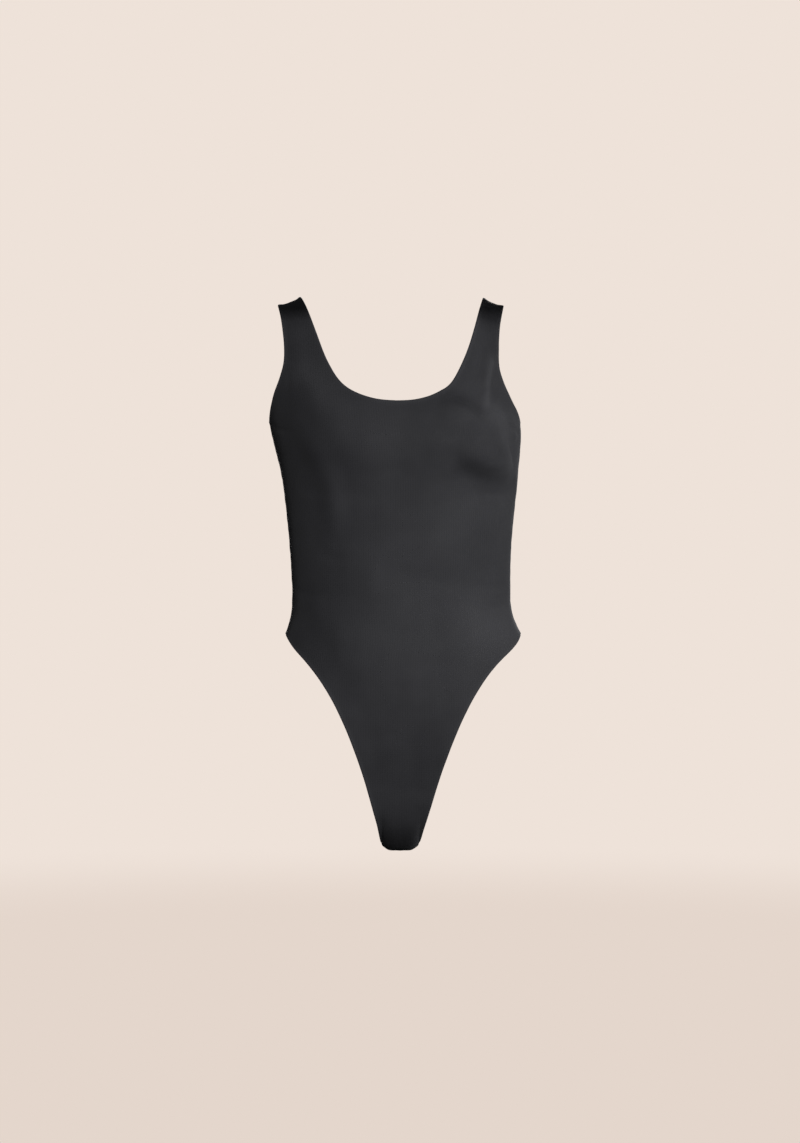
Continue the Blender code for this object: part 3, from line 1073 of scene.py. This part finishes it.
def paper(name, colour, fade_from=None, fade_to=None):
    """Seamless paper, plain and matt: it shows one even tone, and a rim that fades away."""
    material, tree = new_material(name)
    glow = add(tree, "Emission", {"Color": tuple(colour), "Strength": 1.0})
    surface = glow.outputs["Emission"]
    if fade_to:
        place = add(tree, "TexCoord")
        level = {0: place.outputs["Object"], 1: (1, 1, 0)}
        flat = add(tree, "VectorMath", level, operation="MULTIPLY")
        radius = add(tree, "VectorMath", {0: flat.outputs["Vector"]}, operation="LENGTH")
        reach = {"Value": radius.outputs["Value"], "From Min": fade_from, "From Max": fade_to}
        fade = add(tree, "MapRange", reach, interpolation_type="SMOOTHSTEP")
        clear = add(tree, "BsdfTransparent")
        rim = {0: fade.outputs["Result"], 1: surface, 2: clear.outputs["BSDF"]}
        surface = add(tree, "MixShader", rim).outputs["Shader"]
    add(tree, "OutputMaterial", {"Surface": surface})
    return material


def add_papers(context, props):
    """The backdrop and the floor, which the camera sees and which don't light the cloth."""
    bpy.ops.object.select_all(action="DESELECT")
    bpy.ops.mesh.primitive_uv_sphere_add(segments=64, ring_count=32, radius=DOME_RADIUS)
    dome = context.object
    dome.name = "backdrop"
    dome.data.materials.append(paper("backdrop_paper", props.backdrop))
    inner, outer = FLOOR_RADIUS - FLOOR_FADE, FLOOR_RADIUS + FLOOR_FADE
    bpy.ops.mesh.primitive_circle_add(
        vertices=128, radius=outer, fill_type="NGON", location=(0, 0, -props.floor_drop)
    )
    floor = context.object
    floor.name = "floor"
    bpy.ops.object.transform_apply()
    floor.data.materials.append(paper("floor_paper", props.floor, inner, outer))
    for piece in (dome, floor):
        unseen_by(piece, (*BOUNCES, "shadow"))


def light_room(context, strength):
    """Room light, brightest level with the eye and dim towards the ceiling and the floor."""
    world = bpy.data.worlds.new("room")
    world.use_nodes = True
    tree = world.node_tree
    room = tree.nodes["Background"]
    way = add(tree, "TexCoord")
    up = add(tree, "SeparateXYZ", {"Vector": way.outputs["Generated"]})
    steep = add(tree, "Math", {0: up.outputs["Z"], 1: up.outputs["Z"]}, operation="MULTIPLY")
    dim = {"Value": steep.outputs[0], "From Max": DIM_FROM, "To Min": 1.0, "To Max": DIMMEST}
    level = add(tree, "MapRange", dim)
    power = add(tree, "Math", {0: level.outputs["Result"], 1: strength}, operation="MULTIPLY")
    tree.links.new(power.outputs[0], room.inputs["Strength"])
    room.inputs["Color"].default_value = ROOM_TONE
    context.scene.world = world


def add_lamp(context, lamp, power):
    """A soft box that points at the middle of the bodysuit."""
    turn, lift = np.radians([lamp.turn, lamp.lift])
    towards = Vector((np.sin(turn) * np.cos(lift), -np.cos(turn) * np.cos(lift), np.sin(lift)))
    data = bpy.data.lights.new(lamp.name + "_light", "AREA")
    data.shape = "RECTANGLE"
    data.size, data.size_y = lamp.width, lamp.height
    data.energy = power
    light = bpy.data.objects.new(lamp.name + "_light", data)
    light.location = Vector((0, 0, LIT_HEIGHT)) + towards * lamp.distance
    light.rotation_euler = towards.to_track_quat("Z", "Y").to_euler()
    light.visible_camera = False
    context.scene.collection.objects.link(light)


def add_camera(context, distance):
    """The camera that gives the picture's frame, level and without depth of field."""
    turn = np.radians(PHOTO.turn)
    scale = PHOTO.mm_per_pixel * MM
    right = Vector((np.cos(turn), np.sin(turn), 0))
    back = Vector((np.sin(turn), -np.cos(turn), 0))
    data = bpy.data.cameras.new("camera")
    data.sensor_width = SENSOR
    data.lens = SENSOR * distance / (PHOTO.height * scale)
    data.dof.use_dof = False
    camera = bpy.data.objects.new("camera", data)
    camera.location = (
        right * (PHOTO.width / 2 - PHOTO.origin_x) * scale
        - Vector((0, 0, PHOTO.height / 2 - PHOTO.origin_y)) * scale
        + back * distance
    )
    camera.rotation_euler = Euler((np.pi / 2, 0, turn))
    context.scene.collection.objects.link(camera)
    context.scene.camera = camera


class BODYSUIT_OT_stage(bpy.types.Operator):
    """Set up the paper, the floor, the lamps and the camera"""

    bl_idname = "bodysuit.stage"
    bl_label = "Stage"
    bl_options = {"REGISTER", "UNDO"}

    def execute(self, context):
        props = context.scene.bodysuit_stage
        context.scene.view_settings.view_transform = "Standard"
        add_papers(context, props)
        for net in NETS:
            add_net(context, net)
        light_room(context, props.ambient)
        for lamp in LAMPS:
            add_lamp(context, lamp, getattr(props, lamp.name))
        add_camera(context, props.distance)
        return {"FINISHED"}


class BODYSUIT_PT_panel(bpy.types.Panel):
    """Settings and pieces of the bodysuit"""

    bl_label = "Athletics Bodysuit"
    bl_idname = "BODYSUIT_PT_panel"
    bl_space_type = "VIEW_3D"
    bl_region_type = "UI"
    bl_category = "Bodysuit"

    def draw(self, context):
        for group, kinds in (
            (context.scene.bodysuit_cloth, (BODYSUIT_OT_front_panel, BODYSUIT_OT_back_panel)),
            (context.scene.bodysuit_stage, (BODYSUIT_OT_stage,)),
        ):
            box = self.layout.box()
            for name in type(group).__annotations__:
                box.prop(group, name)
            for kind in kinds:
                box.operator(kind.bl_idname)


CLASSES = (
    ClothSettings,
    StageSettings,
    BODYSUIT_OT_front_panel,
    BODYSUIT_OT_back_panel,
    BODYSUIT_OT_stage,
    BODYSUIT_PT_panel,
)


def register():
    for kind in CLASSES:
        bpy.utils.register_class(kind)
    bpy.types.Scene.bodysuit_cloth = PointerProperty(type=ClothSettings)
    bpy.types.Scene.bodysuit_stage = PointerProperty(type=StageSettings)


def unregister():
    del bpy.types.Scene.bodysuit_stage
    del bpy.types.Scene.bodysuit_cloth
    for kind in reversed(CLASSES):
        bpy.utils.unregister_class(kind)


def main():
    register()
    bpy.ops.bodysuit.front_panel()
    bpy.ops.bodysuit.back_panel()
    bpy.ops.bodysuit.stage()


if __name__ == "__main__":
    main()
